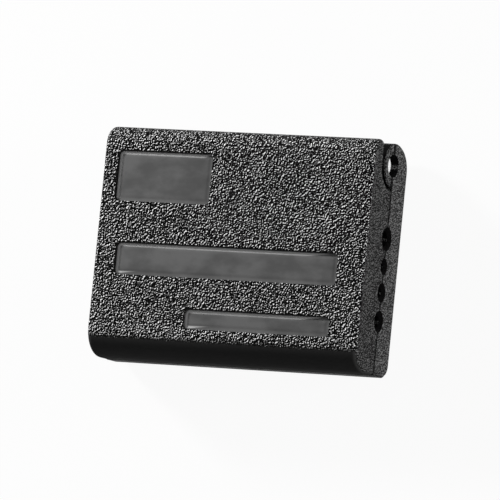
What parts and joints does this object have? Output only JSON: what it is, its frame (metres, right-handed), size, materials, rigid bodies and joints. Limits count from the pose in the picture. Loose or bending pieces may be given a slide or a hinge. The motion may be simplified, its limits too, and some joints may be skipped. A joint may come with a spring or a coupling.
{
  "type": "loose tube slitter",
  "caption": "Palm-sized hinged clamshell with channels through its parting line and steel blades inside, for slitting fibre loose tubes lengthwise.",
  "frame": {"origin": "centre of the closed tool's bounding box on the rear shell's back face", "axes": "+X along the tube channels towards the end seen in the picture, +Y towards the hinge edge, +Z out of the thick front shell"},
  "size_m": [0.058, 0.045, 0.0155],
  "materials": {
    "shell": "black glass-filled nylon with a moulded leather-like grain",
    "cassette": "machined, fine brushed",
    "plate": "rolled sheet",
    "blade": "hardened and ground",
    "screw": "plain stainless",
    "insert": "turned",
    "pin": "ground and polished"
  },
  "bodies": {
    "rear_half": {"rear_shell": "shell", "rear_blade_cassette": "cassette", "rear_backing_plate": "plate", "rear_blade_1": "blade", "rear_blade_2": "blade", "rear_blade_3": "blade", "rear_blade_4": "blade", "rear_cassette_screw": "screw", "rear_insert": "insert", "hinge_pin": "pin", "locating_pins": "pin"},
    "front_half": {"front_shell": "shell", "front_blade_cassette": "cassette", "front_backing_plate": "plate", "front_blade_1": "blade", "front_blade_2": "blade", "front_blade_3": "blade", "front_blade_4": "blade", "front_cassette_screw": "screw", "front_insert": "insert"}
  },
  "joints": [
    {"name": "shell_hinge", "type": "hinge", "parent": "rear_half", "child": "front_half", "pos_m": [0, 0.01805, 0.0065], "axis": [-1, 0, 0], "range_deg": [0, 90]}
  ]
}
